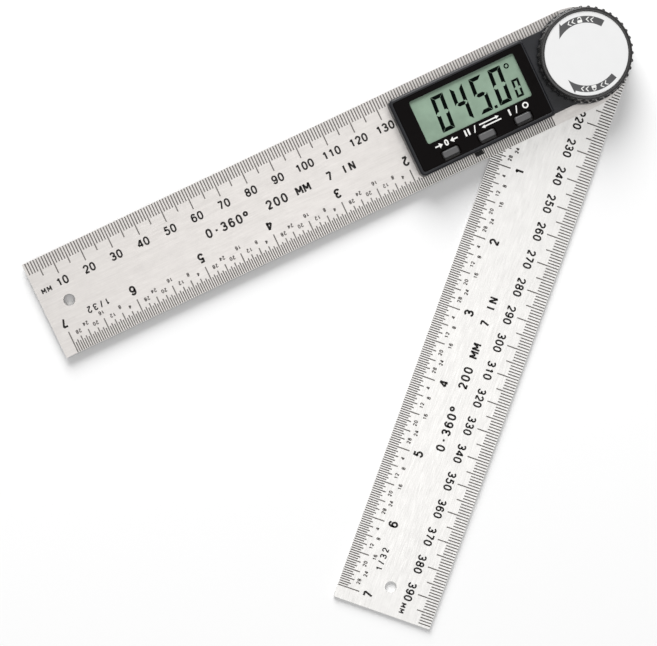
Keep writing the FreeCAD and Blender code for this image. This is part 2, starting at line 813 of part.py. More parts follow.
def make_knob_body():
    """A cup-shaped knob: recessed top for the white cap, ribs round the skirt, hexagonal seat below."""
    body = new_body("knob_body")
    washer_seat = washer_top + size.washer_seat_gap
    seat_radius = size.washer_radius + size.knob_gap
    chamfer = size.knob_radius - size.knob_top_radius
    spin_profile(
        body, "turned_knob",
        (ZERO, washer_seat), (seat_radius, washer_seat), (seat_radius, knob_bottom),
        (size.knob_radius, knob_bottom), (size.knob_radius, knob_top - chamfer),
        (size.knob_top_radius, knob_top), (size.cap_radius, knob_top), (size.cap_radius, cap_seat),
        (ZERO, cap_seat))
    rib_centre = size.knob_radius + size.rib_stand_out - size.rib_radius
    rib = raise_pad(body, "rib", [circle(rib_centre, ZERO, size.rib_radius)], knob_bottom,
                    knob_top - size.rib_top_drop)
    document.recompute()
    pattern = body.newObject("PartDesign::PolarPattern", "ribs")
    pattern.Originals = [rib]
    pattern.Axis = (origin_item(body, "Z_Axis"), [""])
    pattern.Angle = 360.0
    pattern.Occurrences = int(size.rib_count.number)
    body.Tip = pattern
    cut_pocket(body, "nut_seat", [hexagon(size.nut_across_flats)], washer_seat, nut_top)
    keep(body, "knob_body")


def make_knob_fittings():
    cap = new_body("knob_cap")
    bevel = size.cap_thickness / 4
    cap_top = cap_seat + size.cap_thickness
    cap_edge = size.cap_radius - size.running_clearance
    spin_profile(cap, "disc", (ZERO, cap_seat), (cap_edge, cap_seat), (cap_edge, cap_top - bevel),
                 (cap_edge - bevel, cap_top), (ZERO, cap_top))
    keep(cap, "knob_cap")
    nut = new_body("knob_nut")
    raise_pad(nut, "hexagon", [hexagon(size.nut_across_flats)], nut_bottom, nut_top)
    bore = circle(ZERO, ZERO, size.thread_radius + size.running_clearance)
    cut_pocket(nut, "thread", [bore], nut_bottom, nut_top)
    keep(nut, "knob_nut")


# ---------------------------------------------------------------- build, check, write


def check_and_write():
    document.recompute()
    for item in document.Objects:
        if "Invalid" in item.State or "Error" in item.State:
            raise RuntimeError(f"{item.Name} failed: {item.State}")
    os.makedirs("parts", exist_ok=True)
    for sub_part in sub_parts:
        shape = sub_part.Shape
        if shape.isNull() or not shape.isValid() or not shape.Solids:
            raise RuntimeError(f"{sub_part.Label} has no valid solid")
        shape.exportStep(os.path.join("parts", f"{sub_part.Label}.step"))
        print(f"{sub_part.Label}: {len(shape.Solids)} solids, {shape.Volume:.1f} mm3")


make_upper_blade()
make_lower_blade()
make_pivot_hub()
make_pivot_rings()
make_screws()
make_housing_base()
make_housing_cover()
make_front_panel()
make_display_window()
make_display()
make_circuit_board()
make_battery_contacts()
make_encoder_flex()
make_buttons()
make_battery_drawer()
make_knob_body()
make_knob_fittings()
check_and_write()
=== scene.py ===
# The looks of a digital angle ruler, built around its CAD model. Sizes are in millimetres and angles in
# degrees, unless a name says so.
import json
import math
from collections import namedtuple

import bmesh
import bpy
from mathutils import Matrix, Vector
from mathutils.geometry import tessellate_polygon


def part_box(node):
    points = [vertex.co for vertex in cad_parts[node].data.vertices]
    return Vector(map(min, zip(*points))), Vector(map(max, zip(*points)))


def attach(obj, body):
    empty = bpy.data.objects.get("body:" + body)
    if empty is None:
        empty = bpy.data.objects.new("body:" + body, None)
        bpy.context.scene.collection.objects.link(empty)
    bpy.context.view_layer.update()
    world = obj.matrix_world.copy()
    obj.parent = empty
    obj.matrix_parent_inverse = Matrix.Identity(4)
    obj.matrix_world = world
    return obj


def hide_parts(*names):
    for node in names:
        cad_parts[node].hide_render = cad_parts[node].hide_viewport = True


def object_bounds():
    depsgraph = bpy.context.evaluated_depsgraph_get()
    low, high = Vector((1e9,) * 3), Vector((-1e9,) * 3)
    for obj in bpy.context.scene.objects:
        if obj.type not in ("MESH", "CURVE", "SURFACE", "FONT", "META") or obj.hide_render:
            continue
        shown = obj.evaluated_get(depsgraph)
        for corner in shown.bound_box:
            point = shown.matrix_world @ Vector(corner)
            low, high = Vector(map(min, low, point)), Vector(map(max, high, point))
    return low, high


MM = 0.001
INCH = 25.4
PRINT_RISE = 0.012
PRINT_ROOT = 0.008
# Below this, the turn at a corner counts as this sharp, so that an inset can't shoot far past it.
SHARP_LIMIT = 0.2
# Lettering: its height, the step between characters, and a stroke's width as a share of the height.
Style = namedtuple("Style", "height pitch weight")

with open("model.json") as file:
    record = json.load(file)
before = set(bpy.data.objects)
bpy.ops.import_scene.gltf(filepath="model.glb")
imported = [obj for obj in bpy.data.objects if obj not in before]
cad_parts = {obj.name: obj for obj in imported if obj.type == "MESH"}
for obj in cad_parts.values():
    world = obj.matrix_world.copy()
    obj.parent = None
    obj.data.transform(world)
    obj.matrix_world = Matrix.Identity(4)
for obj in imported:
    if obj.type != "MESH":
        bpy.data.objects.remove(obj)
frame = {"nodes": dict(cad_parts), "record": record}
cad_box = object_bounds()


def node_box(node):
    """The lowest and highest corner of a CAD node, in millimetres."""
    low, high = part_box(node)
    return low / MM, high / MM


def node_centre(node):
    low, high = node_box(node)
    return (low + high) / 2


# ---------------------------------------------------------------- mesh tools


class Shape:
    """Corners in millimetres, and the faces between them."""

    def __init__(self):
        self.corners = []
        self.faces = []

    def add(self, corners, faces):
        first = len(self.corners)
        self.corners += [Vector(corner) for corner in corners]
        self.faces += [[first + index for index in face] for face in faces]
        return list(range(first, len(self.corners)))


def make_piece(name, shape, material, body, replaces=(), sharp_angle=35):
    """A visual piece that rides on a body. Edges sharper than the angle stay crisp."""
    mesh = bpy.data.meshes.new(name)
    mesh.from_pydata([corner * MM for corner in shape.corners], [], shape.faces)
    tidy = bmesh.new()
    tidy.from_mesh(mesh)
    bmesh.ops.recalc_face_normals(tidy, faces=tidy.faces)
    tidy.to_mesh(mesh)
    tidy.free()
    mesh.materials.append(material)
    mesh.shade_smooth()
    mesh.set_sharp_from_angle(angle=math.radians(sharp_angle))
    piece = bpy.data.objects.new(name, mesh)
    bpy.context.scene.collection.objects.link(piece)
    weights = piece.modifiers.new("even_shading", "WEIGHTED_NORMAL")
    weights.keep_sharp = True
    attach(piece, body)
    if replaces:
        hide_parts(*replaces)
    return piece


def arc(centre, radius, start, end, steps):
    """Points on an arc, both ends included."""
    points = []
    for step in range(steps + 1):
        angle = math.radians(start + (end - start) * step / steps)
        points.append((centre[0] + radius * math.cos(angle), centre[1] + radius * math.sin(angle)))
    return points


def circle(centre, radius, steps=64):
    return arc(centre, radius, 0, 360, steps)[:-1]


def rounded_box(left, right, low, high, radius, steps=6):
    """An oblong with round corners, anticlockwise."""
    corners = [(right - radius, high - radius, 0), (left + radius, high - radius, 90),
               (left + radius, low + radius, 180), (right - radius, low + radius, 270)]
    points = []
    for x, y, start in corners:
        points += arc((x, y), radius, start, start + 90, steps)
    return points


def box_outline(low, high, inset, radius, steps=6):
    """The rounded outline of a box seen from above, drawn in from its sides."""
    return rounded_box(low.x + inset, high.x - inset, low.y + inset, high.y - inset, radius, steps)


def inset_ring(outline, inset):
    """The outline moved to its left, which is inwards when it runs anticlockwise."""
    count = len(outline)
    ring = []
    for index in range(count):
        here = Vector(outline[index])
        before = (here - Vector(outline[index - 1])).normalized()
        after = (Vector(outline[(index + 1) % count]) - here).normalized()
        left_before = Vector((-before.y, before.x))
        left_after = Vector((-after.y, after.x))
        share = max(1 + left_before.dot(left_after), SHARP_LIMIT)
        ring.append(here + (left_before + left_after) * (inset / share))
    return ring


def round_levels(bottom, top, bottom_round=0.0, top_round=0.0, steps=4):
    """Pairs of inset and height that go up a wall with rounded lower and upper edges."""
    levels = []
    for step in range(steps + 1 if bottom_round else 1):
        turn = math.radians(90 * step / steps)
        levels.append((bottom_round * (1 - math.sin(turn)), bottom + bottom_round * (1 - math.cos(turn))))
    for step in range(steps + 1 if top_round else 1):
        turn = math.radians(90 * step / steps)
        levels.append((top_round * (1 - math.cos(turn)), top - top_round * (1 - math.sin(turn))))
    return levels


def add_solid(shape, *walls):
    """A closed solid between walls. Each wall is an outline with its levels, and all share one bottom and
    one top. Every outline runs anticlockwise. A hole's levels have negative insets, which make it wider."""
    bottoms, tops = [], []
    for outline, levels in walls:
        rings = []
        for inset, height in levels:
            corners = [(x, y, height) for x, y in inset_ring(outline, inset)]
            rings.append(shape.add(corners, []))
        count = len(outline)
        for lower, upper in zip(rings, rings[1:]):
            for index in range(count):
                after = (index + 1) % count
                shape.faces.append([lower[index], lower[after], upper[after], upper[index]])
        bottoms.append(rings[0])
        tops.append(rings[-1])
    for rings in (bottoms, tops):
        flat = [index for ring in rings for index in ring]
        loops = [[shape.corners[index] for index in ring] for ring in rings]
        for triangle in tessellate_polygon(loops):
            shape.faces.append([flat[index] for index in triangle])


def hole_levels(levels):
    """The same levels for a hole, whose rounding goes outwards."""
    return [(-inset, height) for inset, height in levels]


def print_levels(surface):
    """The bottom and top of a thin printed or filled mark on a surface at that height."""
    return [(0, surface - PRINT_ROOT), (0, surface + PRINT_RISE)]


def add_print(shape, outline, surface):
    add_solid(shape, (outline, print_levels(surface)))


def add_print_ring(shape, centre, outer, inner, steps, surface):
    add_solid(shape, (circle(centre, outer, steps), print_levels(surface)),
              (circle(centre, inner, steps), print_levels(surface)))


# ---------------------------------------------------------------- material tools


def new_material(name, colour, roughness, metallic=0.0, specular=0.5):
    """A material with its nodes, and its main shader set to plain values."""
    material = bpy.data.materials.new(name)
    material.use_nodes = True
    shader = material.node_tree.nodes["Principled BSDF"]
    shader.inputs["Base Color"].default_value = (*colour, 1)
    shader.inputs["Roughness"].default_value = roughness
    shader.inputs["Metallic"].default_value = metallic
    shader.inputs["Specular IOR Level"].default_value = specular
    return material, shader


class Nodes:
    """Short ways to add the nodes that the materials share. Patterns are laid out in millimetres."""

    def __init__(self, material, stretch=(1, 1, 1), turn=0.0):
        self.tree = material.node_tree
        self.shader = self.tree.nodes["Principled BSDF"]
        place = self.tree.nodes.new("ShaderNodeTexCoord")
        self.mapping = self.tree.nodes.new("ShaderNodeMapping")
        self.mapping.vector_type = "TEXTURE"
        self.mapping.inputs["Rotation"].default_value = (0, 0, math.radians(turn))
        self.mapping.inputs["Scale"].default_value = [MM * size for size in stretch]
        self.tree.links.new(place.outputs["Object"], self.mapping.inputs["Vector"])

    def noise(self, size, detail=3.0, roughness=0.6):
        """Noise whose features are about that many millimetres across, times the stretch."""
        node = self.tree.nodes.new("ShaderNodeTexNoise")
        node.inputs["Scale"].default_value = 1 / size
        node.inputs["Detail"].default_value = detail
        node.inputs["Roughness"].default_value = roughness
        self.tree.links.new(self.mapping.outputs["Vector"], node.inputs["Vector"])
        return node.outputs["Fac"]

    def spread(self, source, low, high, start=0.3, end=0.7):
        """A number that goes from low to high as the source goes from start to end."""
        node = self.tree.nodes.new("ShaderNodeMapRange")
        node.inputs["From Min"].default_value = start
        node.inputs["From Max"].default_value = end
        node.inputs["To Min"].default_value = low
        node.inputs["To Max"].default_value = high
        self.tree.links.new(source, node.inputs["Value"])
        return node.outputs["Result"]

    def colours(self, source, first, second, start=0.3, end=0.7):
        """A colour between two, by the source."""
        node = self.tree.nodes.new("ShaderNodeValToRGB")
        node.color_ramp.elements[0].position = start
        node.color_ramp.elements[0].color = (*first, 1)
        node.color_ramp.elements[1].position = end
        node.color_ramp.elements[1].color = (*second, 1)
        self.tree.links.new(source, node.inputs["Fac"])
        return node.outputs["Color"]

    def mix(self, first, second):
        """The mean of two numbers."""
        node = self.tree.nodes.new("ShaderNodeMix")
        node.inputs[0].default_value = 0.5
        self.tree.links.new(first, node.inputs[2])
        self.tree.links.new(second, node.inputs[3])
        return node.outputs[0]

    def bump(self, source, depth, strength=1.0):
        """Lets the source raise the surface by up to that many millimetres."""
        node = self.tree.nodes.new("ShaderNodeBump")
        node.inputs["Strength"].default_value = strength
        node.inputs["Distance"].default_value = depth * MM
        self.tree.links.new(source, node.inputs["Height"])
        self.tree.links.new(node.outputs["Normal"], self.shader.inputs["Normal"])

    def drive(self, socket, source):
        self.tree.links.new(source, self.shader.inputs[socket])


def scaled(colour, factor):
    return tuple(channel * factor for channel in colour)


GRAIN_DEPTH = 0.004
CLOUD_SIZE = 6.0
SMOOTHER = 0.06
ROUGHER = 0.08


def steel(name, colour, turn, grain=(9.0, 0.35, 9.0), roughness=(0.36, 0.5), patch=0.07):
    """Rolled stainless steel, with a fine grain along the blade and faint cloudy patches."""
    material, _ = new_material(name, colour, roughness[0], metallic=1.0)
    nodes = Nodes(material, grain, turn)
    lines = nodes.noise(0.5, detail=4.0, roughness=0.7)
    clouds = Nodes(material, turn=turn).noise(5.0, detail=9.0, roughness=0.75)
    tint = nodes.mix(clouds, nodes.noise(1.1, detail=3.0, roughness=0.65))
    nodes.drive("Base Color", nodes.colours(tint, scaled(colour, 1 - patch), scaled(colour, 1 + patch)))
    nodes.drive("Roughness", nodes.spread(lines, *roughness))
    nodes.bump(lines, GRAIN_DEPTH)
    return material


def moulded(name, colour, roughness, texture_size=0.22, texture_depth=0.006, specular=0.5, cloud=0.1):
    """Moulded plastic with a fine spark-eroded texture and faint clouds in its colour."""
    material, _ = new_material(name, colour, roughness, specular=specular)
    nodes = Nodes(material)
    grain = nodes.noise(texture_size, detail=2.0)
    patches = nodes.noise(CLOUD_SIZE, detail=2.0)
    nodes.drive("Base Color", nodes.colours(patches, scaled(colour, 1 - cloud), scaled(colour, 1 + cloud)))
    nodes.drive("Roughness", nodes.spread(grain, roughness - SMOOTHER, roughness + ROUGHER))
    nodes.bump(grain, texture_depth)
    return material


LENS_TINT = (0.96, 0.97, 0.96, 1)
LENS_ROUGHNESS = 0.08
LENS_IOR = 1.12
# The share of light that is taken off the reflection, so that nothing is left of it head-on.
LENS_HEAD_ON = 0.004


def clear_lens_material():
    """A clear window. Its outside reflects more at a shallow angle and nothing at all seen head-on, and its
    inside reflects nothing, so that it never hides the display."""
    material = bpy.data.materials.new("clear_lens")
    material.use_nodes = True
    tree = material.node_tree
    tree.nodes.remove(tree.nodes["Principled BSDF"])
    clear = tree.nodes.new("ShaderNodeBsdfTransparent")
    clear.inputs["Color"].default_value = LENS_TINT
    gloss = tree.nodes.new("ShaderNodeBsdfGlossy")
    gloss.inputs["Roughness"].default_value = LENS_ROUGHNESS
    facing = tree.nodes.new("ShaderNodeFresnel")
    facing.inputs["IOR"].default_value = LENS_IOR
    side = tree.nodes.new("ShaderNodeNewGeometry")
    outside_only = tree.nodes.new("ShaderNodeMath")
    outside_only.operation = "SUBTRACT"
    outside_only.use_clamp = True
    gleam = tree.nodes.new("ShaderNodeMapRange")
    gleam.inputs["From Min"].default_value = LENS_HEAD_ON
    tree.links.new(facing.outputs["Fac"], gleam.inputs["Value"])
    tree.links.new(gleam.outputs["Result"], outside_only.inputs[0])
    tree.links.new(side.outputs["Backfacing"], outside_only.inputs[1])
    mix = tree.nodes.new("ShaderNodeMixShader")
    tree.links.new(outside_only.outputs["Value"], mix.inputs["Fac"])
    tree.links.new(clear.outputs["BSDF"], mix.inputs[1])
    tree.links.new(gloss.outputs["BSDF"], mix.inputs[2])
    tree.links.new(mix.outputs["Shader"], tree.nodes["Material Output"].inputs["Surface"])
    return material


# ---------------------------------------------------------------- materials

# A steel has a colour, the turn of its grain, the grain's stretch, and a range of roughness. A moulded
# material has a colour, a roughness, its texture's size and depth, its specular, and its clouds' strength.
upper_steel = steel("upper_blade_steel", (0.60, 0.575, 0.555), 0)
# Painted light: the lower blade is the same steel as the upper one, with its colour painted lighter and
# more neutral to stand in for the brighter light that falls on it.
lower_steel = steel("lower_blade_steel", (0.69, 0.68, 0.665), 45)
fitting_steel = steel("fitting_steel", (0.55, 0.55, 0.56), 0, (1, 1, 1), (0.25, 0.4))
etched_grey = moulded("etched_grey", (0.145, 0.134, 0.127), 0.6, 0.3, 0.002, 0.2)
black_ink = moulded("black_ink", (0.024, 0.022, 0.021), 0.6, 0.3, 0.002, 0.2)
housing_plastic = moulded("housing_plastic", (0.014, 0.0145, 0.0175), 0.36, specular=0.28)
knob_plastic = moulded("knob_plastic", (0.019, 0.018, 0.018), 0.24, 0.8, 0.0012)
panel_gloss = moulded("panel_gloss", (0.0024, 0.0016, 0.0016), 0.12, 2.5, 0.002, 0.03)
button_plastic = moulded("button_plastic", (0.068, 0.067, 0.069), 0.35, 0.3, 0.004)
tray_plastic = moulded("tray_plastic", (0.006, 0.006, 0.006), 0.4, specular=0.2)
cap_white = moulded("cap_white", (0.745, 0.745, 0.745), 0.4, 0.8, 0.001, 0.3, 0.01)
shim_nylon = moulded("shim_nylon", (0.6, 0.6, 0.57), 0.5)
display_green = moulded("display_green", (0.286, 0.38, 0.302), 0.5, 0.25, 0.001, 0.2)
digit_black = moulded("digit_black", (0.003, 0.0045, 0.004), 0.6, 0.4, 0.001, 0.0)
legend_white = moulded("legend_white", (0.80, 0.80, 0.78), 0.5, 0.3, 0.001, 0.3)
knob_ink = moulded("knob_ink", (0.09, 0.09, 0.092), 0.6, 0.3, 0.002, 0.2)
board_laminate = moulded("board_laminate", (0.02, 0.13, 0.05), 0.4, 0.5, 0.004)
chip_epoxy = moulded("chip_epoxy", (0.015, 0.015, 0.016), 0.6)
flex_film = moulded("flex_film", (0.42, 0.2, 0.04), 0.3, 0.6, 0.002)
strip_rubber = moulded("strip_rubber", (0.3, 0.3, 0.32), 0.7)
brass = steel("brass", (0.72, 0.52, 0.22), 0, (1, 1, 1), (0.25, 0.4))
coin_steel = steel("coin_steel", (0.4, 0.4, 0.41), 0, (6.0, 0.5, 6.0), (0.3, 0.42))

clear_lens = clear_lens_material()

BLADE_STEEL = {"upper_blade": upper_steel, "lower_blade": lower_steel}
BY_SLOT = {
    "fitting_steel": fitting_steel, "housing_plastic": housing_plastic, "knob_plastic": knob_plastic,
    "panel_gloss": panel_gloss, "display_green": display_green, "button_plastic": button_plastic,
    "tray_plastic": tray_plastic, "cap_white": cap_white, "shim_nylon": shim_nylon,
    "board_laminate": board_laminate, "chip_epoxy": chip_epoxy, "flex_film": flex_film,
    "strip_rubber": strip_rubber, "brass": brass, "coin_steel": coin_steel, "clear_lens": clear_lens,
}


def dress_cad_nodes():
    """Every CAD node gets the material of its slot in the record, but each blade has a steel of its own:
    its own grain, and on the lower blade a colour painted lighter as painted light, for the brighter light
    it catches.
    """
    slots = {row["node"]: row["material_slot"] for row in frame["record"]["subparts"]}
    for name, node in frame["nodes"].items():
        node.data.materials.clear()
        node.data.materials.append(BLADE_STEEL.get(name) or BY_SLOT[slots[name]])


dress_cad_nodes()


# ---------------------------------------------------------------- lettering


def bow(x, y, width, height, start, end, steps=10):
    """Points on an oval arc."""
    turns = [math.radians(start + (end - start) * step / steps) for step in range(steps + 1)]
    return [(x + width * math.cos(turn), y + height * math.sin(turn)) for turn in turns]


def half_turned(strokes):
    return [[(1 - x, 1 - y) for x, y in stroke] for stroke in strokes]


SIX = [bow(0.5, 0.31, 0.5, 0.31, 0, 360, 20), bow(0.5, 0.64, 0.5, 0.36, 28, 180) + [(0, 0.31)]]

# The middle lines of each character's strokes, in a box one wide and one high. A stroke that ends where it
# starts is a ring.
STROKES = {
    "0": [bow(0.5, 0.63, 0.5, 0.37, 0, 180) + bow(0.5, 0.37, 0.5, 0.37, 180, 360) + [(1, 0.63)]],
    "1": [[(0.62, 1), (0.62, 0)], [(0.16, 0.74), (0.62, 0.96)]],
    "2": [bow(0.5, 0.70, 0.5, 0.30, 172, -28) + [(0.04, 0.02)], [(0, 0), (1, 0)]],
    "3": [bow(0.46, 0.74, 0.46, 0.26, 165, -90) + [(0.3, 0.48)],
          [(0.3, 0.52)] + bow(0.48, 0.26, 0.52, 0.26, 90, -165)],
    "4": [[(0.7, 1), (0, 0.24)], [(0, 0.24), (1, 0.24)], [(0.74, 1), (0.74, 0)]],
    "5": [[(0.92, 1), (0.2, 1), (0.1, 0.5)], bow(0.46, 0.32, 0.54, 0.32, 136, -160)],
    "6": SIX,
    "7": [[(0, 1), (1, 1)], [(1, 1), (0.36, 0)]],
    "8": [bow(0.5, 0.75, 0.45, 0.25, 0, 360, 18), bow(0.5, 0.26, 0.5, 0.26, 0, 360, 18)],
    "9": half_turned(SIX),
    "-": [[(0.1, 0.45), (0.9, 0.45)]],
    "/": [[(0, -0.06), (1, 1.06)]],
    "°": [bow(0.4, 0.78, 0.4, 0.22, 0, 360, 16)],
    "M": [[(0, 0), (0, 1)], [(0, 1), (0.5, 0.3)], [(0.5, 0.3), (1, 1)], [(1, 1), (1, 0)]],
    "I": [[(0.5, 0), (0.5, 1)]],
    "N": [[(0, 0), (0, 1)], [(0, 1), (1, 0)], [(1, 0), (1, 1)]],
}
WIDTHS = {"4": 0.74, "M": 0.76, "I": 0.2, "N": 0.64, "/": 0.42, "-": 0.5, "°": 0.64}
DIGIT_WIDTH = 0.64
LONGEST_CORNER = 1.5
RING_CLOSED = 1e-4


def line_sides(points, half):
    """The outline of a line of that half width, with its corners kept short."""
    left, right = [], []
    for index, here in enumerate(points):
        before = points[max(index - 1, 0)]
        after = points[min(index + 1, len(points) - 1)]
        first = (here - before).normalized() if here != before else (after - here).normalized()
        second = (after - here).normalized() if here != after else first
        side = Vector((-first.y - second.y, first.x + second.x))
        reach = min(half / max(side.length / 2, SHARP_LIMIT), half * LONGEST_CORNER)
        side = side.normalized() * reach
        left.append(here + side)
        right.append(here - side)
    return left + right[::-1]


def add_stroke(shape, points, half, surface):
    levels = print_levels(surface)
    if (points[0] - points[-1]).length < RING_CLOSED:
        ring = points[:-1]
        add_solid(shape, (inset_ring(ring, -half), levels), (inset_ring(ring, half), levels))
    else:
        add_solid(shape, (line_sides(points, half), levels))


def write(shape, text, centre, up, style, surface):
    """Prints the text round a centre. Up is the direction of its tops. The style gives the height, the step
    between characters, and the width of a stroke as a share of the height."""
    up = Vector(up).normalized()
    right = Vector((up.y, -up.x))
    for index, character in enumerate(text):
        if character == " ":
            continue
        width = WIDTHS.get(character, DIGIT_WIDTH)
        step = (index - (len(text) - 1) / 2) * style.pitch
        start = Vector(centre) + right * (step - width / 2 * style.height) - up * (style.height / 2)
        for stroke in STROKES[character]:
            places = []
            for x, y in stroke:
                across = style.weight / 2 + x * (width - style.weight)
                rise = style.weight / 2 + y * (1 - style.weight)
                places.append(start + right * (across * style.height) + up * (rise * style.height))
            add_stroke(shape, places, style.weight * style.height / 2, surface)


# ---------------------------------------------------------------- blade graduations

TICK_WIDTH = 0.42
TICK_MARGIN = 0.06
MM_TICKS = {"ten": 7.7, "five": 6.26, "one": 4.26}
INCH_TICKS = (7.7, 6.7, 5.7, 4.8, 4.1, 3.5)
INCH_PARTS = 32
INCH_ZERO = 17.8
INCHES = 7
MM_NUMBER = Style(height=3.05, pitch=2.28, weight=0.195)
MM_NUMBER_INSET = 10.5
INCH_NUMBER = Style(height=3.4, pitch=2.4, weight=0.205)
INCH_NUMBER_INSET = 10.9
PART_NUMBER = Style(height=1.45, pitch=1.1, weight=0.24)
PART_INSETS = {4: 6.4, 8: 7.8, 12: 6.4, 16: 8.8, 20: 6.4, 24: 7.8, 28: 6.4}
UNIT_MARK = Style(height=2.1, pitch=2.05, weight=0.2)
UNIT_MARK_INSET = 11.1
UNIT_MARK_FROM_END = 3.9
PARTS_MARK = Style(height=2.4, pitch=2.2, weight=0.18)
PARTS_MARK_INSET = 11.4
PARTS_MARK_FROM_END = 17.3
LEGEND = "0-360°  200 MM  7 IN"
LEGEND_STYLE = Style(height=3.3, pitch=2.8, weight=0.2)
UPPER_LEGEND_ALONG = 112.2
LOWER_LEGEND_ALONG = 113.8
MM_NUMBER_CLEARANCE = 3
INCH_NUMBER_CLEARANCE = 1


class BladeFace:
    """One blade's upper face. A place on it is along, from the pivot, and across, towards the millimetre
    edge. Both blades have the width and length of the upper one, which lies square to the frame."""

    def __init__(self, node, along, across):
        low, high = node_box("upper_blade")
        self.half_width = high.y
        self.length = -low.x
        self.height = node_box(node)[1].z
        self.along = Vector(along).normalized()
        self.across = Vector(across).normalized()

    def at(self, along, across):
        return self.along * along + self.across * across

    def tick(self, shape, along, edge, length):
        """A graduation that starts at an edge: 1 is the millimetre edge, and -1 the inch edge."""
        outer = edge * (self.half_width - TICK_MARGIN)
        inner = edge * (self.half_width - length)
        left, right = along - TICK_WIDTH / 2, along + TICK_WIDTH / 2
        places = [(left, outer), (right, outer), (right, inner), (left, inner)]
        add_print(shape, [self.at(*place) for place in places], self.height)

    def number(self, shape, text, along, edge, inset, style):
        centre = self.at(along, edge * (self.half_width - inset))
        write(shape, text, centre, self.across * edge, style, self.height)


def binary_level(part):
    """0 for a whole inch, 1 for a half, and so on to 5 for an odd thirty-second."""
    level = 0
    while part % (INCH_PARTS >> level):
        level += 1
    return level


def add_millimetres(ticks, numbers, face, first_label, direction, covered):
    """Millimetre ticks, with a number at every ten that counts up or down from the label at the pivot."""
    for along in range(1, round(face.length)):
        size = "ten" if along % 10 == 0 else "five" if along % 5 == 0 else "one"
        face.tick(ticks, along, 1, MM_TICKS[size])
    for along in range(10, round(face.length), 10):
        if along > covered:
            label = str(first_label + direction * along)
            face.number(numbers, label, along, 1, MM_NUMBER_INSET, MM_NUMBER)
    face.number(numbers, "MM", face.length - UNIT_MARK_FROM_END, 1, UNIT_MARK_INSET, UNIT_MARK)


def add_inches(ticks, numbers, face, covered):
    """Inch ticks down to a thirty-second, with numbers that start past the covered part. The zero tick has
    no number."""
    for part in range(INCHES * INCH_PARTS + 1):
        along = INCH_ZERO + INCH * part / INCH_PARTS
        face.tick(ticks, along, -1, INCH_TICKS[binary_level(part)])
        if along <= covered or part == 0:
            continue
        if part % INCH_PARTS == 0:
            face.number(numbers, str(part // INCH_PARTS), along, -1, INCH_NUMBER_INSET, INCH_NUMBER)
        elif part % INCH_PARTS in PART_INSETS:
            inset = PART_INSETS[part % INCH_PARTS]
            face.number(ticks, str(part % INCH_PARTS), along, -1, inset, PART_NUMBER)
    face.number(numbers, "1/32", face.length - PARTS_MARK_FROM_END, -1, PARTS_MARK_INSET, PARTS_MARK)


def make_upper_graduations():
    face = BladeFace("upper_blade", (-1, 0), (0, 1))
    housing_end = -node_box("housing_cover")[0].x
    ticks, numbers = Shape(), Shape()
    add_millimetres(ticks, numbers, face, round(face.length), -1, housing_end + MM_NUMBER_CLEARANCE)
    add_inches(ticks, numbers, face, housing_end + INCH_NUMBER_CLEARANCE)
    write(numbers, LEGEND, face.at(UPPER_LEGEND_ALONG, 0), face.across, LEGEND_STYLE, face.height)
    make_piece("upper_blade_graduations", ticks, etched_grey, "display_arm")
    make_piece("upper_blade_numbers", numbers, black_ink, "display_arm")


def make_lower_graduations():
    """The lower blade's numbers go on from the upper blade's length."""
    face = BladeFace("lower_blade", (-1, -1), (1, -1))
    shim_edge = node_box("friction_shim")[1].x
    ticks, numbers = Shape(), Shape()
    add_millimetres(ticks, numbers, face, round(face.length), 1, shim_edge)
    add_inches(ticks, numbers, face, shim_edge)
    write(numbers, LEGEND, face.at(LOWER_LEGEND_ALONG, 0), -face.across, LEGEND_STYLE, face.height)
    make_piece("lower_blade_graduations", ticks, etched_grey, "swing_arm")
    make_piece("lower_blade_numbers", numbers, black_ink, "swing_arm")


make_upper_graduations()
make_lower_graduations()


# ---------------------------------------------------------------- lock knob

KNOB_RIBS = 38
RIB_SAMPLES = 20
RIB_HEIGHT = 0.5
RIB_LENGTH = 3.7
RIB_HALF_FOOT = 0.3
RIB_FLANK = 0.22
HOLLOW_RADIUS = 11.6
HOLLOW_DEPTH = 0.2
BORE_GAP = 0.2
SHOULDER_INSET = 0.24
SHOULDER_DROP = 0.55
RIM_ROUND = 0.5
CAP_GAP = 0.05
CAP_SEAT_ROUND = 0.12
CAP_LOWER_EDGE = 0.05
CAP_UPPER_EDGE = 0.15
# Along the skirt: how far in from it, how high above the knob's underside or the ribs' top, and how much of
# the rib's height counts there.
RIB_FOOT = [(0.35, 0, 0.2), (0.12, 0.06, 0.7), (0, 0.22, 1), (0, 1.2, 1), (0, 2.3, 1)]
RIB_TOP = [(0, -0.5, 1), (0, -0.25, 0.85), (0.02, -0.08, 0.5), (0.1, 0.04, 0), (0.16, 0.4, 0)]


def rib_bump(share):
    """How far a rib stands out, from 0 to 1, by how far round its own pitch a place is."""
    from_middle = abs(share - 0.5)
    rise = min(max((RIB_HALF_FOOT - from_middle) / RIB_FLANK, 0), 1)
    return rise * rise * (3 - 2 * rise)


